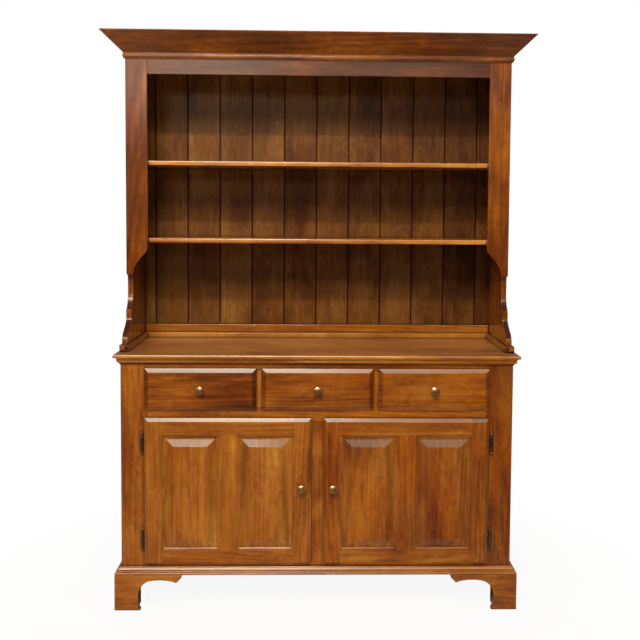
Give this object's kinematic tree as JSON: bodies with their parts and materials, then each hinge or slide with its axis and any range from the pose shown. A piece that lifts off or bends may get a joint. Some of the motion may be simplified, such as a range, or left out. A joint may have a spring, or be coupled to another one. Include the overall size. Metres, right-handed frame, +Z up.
{
  "type": "buffet with open hutch top",
  "caption": "Wooden buffet: lipped drawers over panelled doors on bracket feet, with an open shelved hutch, scrolled ends, grooved back and sprung cornice.",
  "frame": {"origin": "on the floor, under the middle of the whole piece's width and depth", "axes": "+X to the right seen from the front, +Y to the back, +Z up"},
  "size_m": [1.497, 0.52, 1.9655],
  "materials": {
    "maple": "honey-brown stain under glossy lacquer",
    "maple_dark": "honey-brown stain under satin lacquer",
    "drawer_wood": "pale sealed wood",
    "hardboard": "matt brown hardboard",
    "knob_metal": "antique copper",
    "hinge_metal": "antique brass"
  },
  "bodies": {
    "case": {"foot_front_left": "maple", "foot_front_right": "maple", "foot_rear_left": "maple", "foot_rear_right": "maple", "base_side_left": "maple", "base_side_right": "maple", "base_stile_left": "maple", "base_stile_right": "maple", "base_stile_centre": "maple", "base_rail_bottom": "maple", "base_rail_middle": "maple", "base_rail_top": "maple", "drawer_muntin_left": "maple", "drawer_muntin_right": "maple", "drawer_guide_left": "drawer_wood", "drawer_guide_right": "drawer_wood", "drawer_deck": "drawer_wood", "base_bottom_board": "maple", "cupboard_shelf": "maple", "base_back_panel": "hardboard", "base_moulding": "maple", "counter_top": "maple", "counter_cove": "maple", "hutch_side_left": "maple", "hutch_side_right": "maple", "hutch_stile_left": "maple", "hutch_stile_right": "maple", "hutch_top_rail": "maple", "hutch_top_board": "maple", "hutch_shelf_lower": "maple", "hutch_shelf_upper": "maple", "hutch_back_boards": "maple_dark", "hutch_back_rail": "maple", "hutch_cleat": "maple", "cornice": "maple", "hinge_left_upper_case_leaf": "hinge_metal", "hinge_left_lower_case_leaf": "hinge_metal", "hinge_right_upper_case_leaf": "hinge_metal", "hinge_right_lower_case_leaf": "hinge_metal"},
    "drawer_left": {"drawer_left_front": "maple", "drawer_left_box": "drawer_wood", "drawer_left_knob": "knob_metal"},
    "drawer_centre": {"drawer_centre_front": "maple", "drawer_centre_box": "drawer_wood", "drawer_centre_knob": "knob_metal"},
    "drawer_right": {"drawer_right_front": "maple", "drawer_right_box": "drawer_wood", "drawer_right_knob": "knob_metal"},
    "door_left": {"door_left_frame": "maple", "door_left_panel_outer": "maple", "door_left_panel_inner": "maple", "door_left_knob": "knob_metal", "hinge_left_upper_door_leaf": "hinge_metal", "hinge_left_lower_door_leaf": "hinge_metal"},
    "door_right": {"door_right_frame": "maple", "door_right_panel_outer": "maple", "door_right_panel_inner": "maple", "door_right_knob": "knob_metal", "hinge_right_upper_door_leaf": "hinge_metal", "hinge_right_lower_door_leaf": "hinge_metal"}
  },
  "joints": [
    {"name": "drawer_left_slide", "type": "slide", "parent": "case", "child": "drawer_left", "axis": [0, -1, 0], "range_m": [0, 0.3]},
    {"name": "drawer_centre_slide", "type": "slide", "parent": "case", "child": "drawer_centre", "axis": [0, -1, 0], "range_m": [0, 0.3]},
    {"name": "drawer_right_slide", "type": "slide", "parent": "case", "child": "drawer_right", "axis": [0, -1, 0], "range_m": [0, 0.3]},
    {"name": "door_left_hinge", "type": "hinge", "parent": "case", "child": "door_left", "pos_m": [-0.59, -0.2266, 0.4], "axis": [0, 0, -1], "range_deg": [0, 150]},
    {"name": "door_right_hinge", "type": "hinge", "parent": "case", "child": "door_right", "pos_m": [0.59, -0.2266, 0.4], "axis": [0, 0, 1], "range_deg": [0, 150]}
  ]
}
